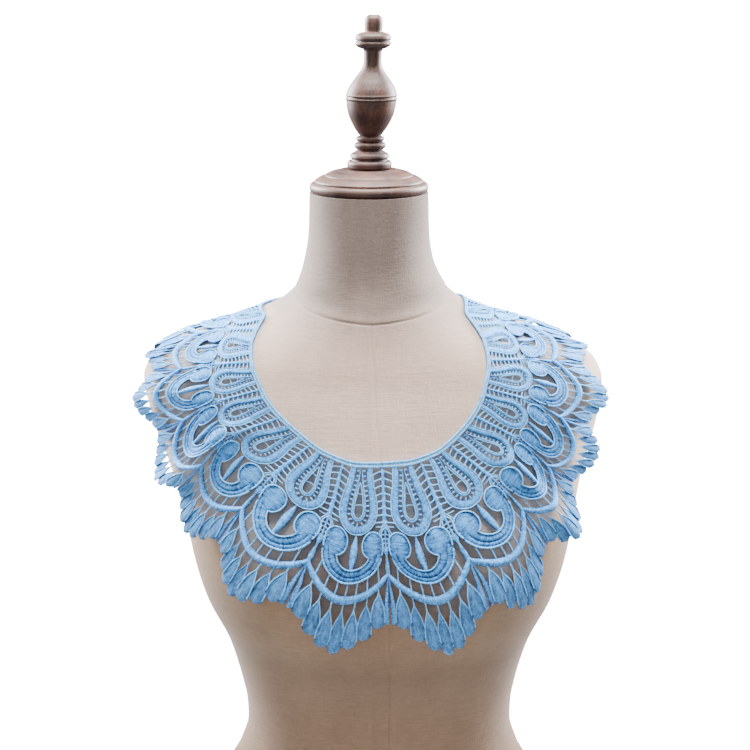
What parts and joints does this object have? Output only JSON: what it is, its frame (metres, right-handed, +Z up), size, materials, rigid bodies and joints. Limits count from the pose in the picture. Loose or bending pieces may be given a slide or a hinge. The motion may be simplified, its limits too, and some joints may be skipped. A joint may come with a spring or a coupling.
{
  "type": "lace collar on a dress form",
  "caption": "Deep round guipure lace collar in light blue, draped over the shoulders of a limbless linen dress form with a turned wooden neck cap and finial.",
  "frame": {"origin": "centre of the object's box on the surface that the dress form stands on", "axes": "+Z up through the neck and finial, +Y towards the back of the form, so the front looks along -Y, +X towards the form's side on the right of a front view"},
  "size_m": [0.408, 0.2508, 0.8303],
  "materials": {
    "blue_lace": "matt cotton guipure lace, light blue",
    "natural_linen": "plain woven natural linen",
    "turned_wood": "dark stained and waxed hardwood, worn at the edges"
  },
  "bodies": {
    "root": {"form_body": "natural_linen", "neck_cap": "turned_wood", "finial": "turned_wood", "lace_right": "blue_lace", "lace_left": "blue_lace", "neck_band_right": "blue_lace", "neck_band_left": "blue_lace"}
  },
  "joints": []
}
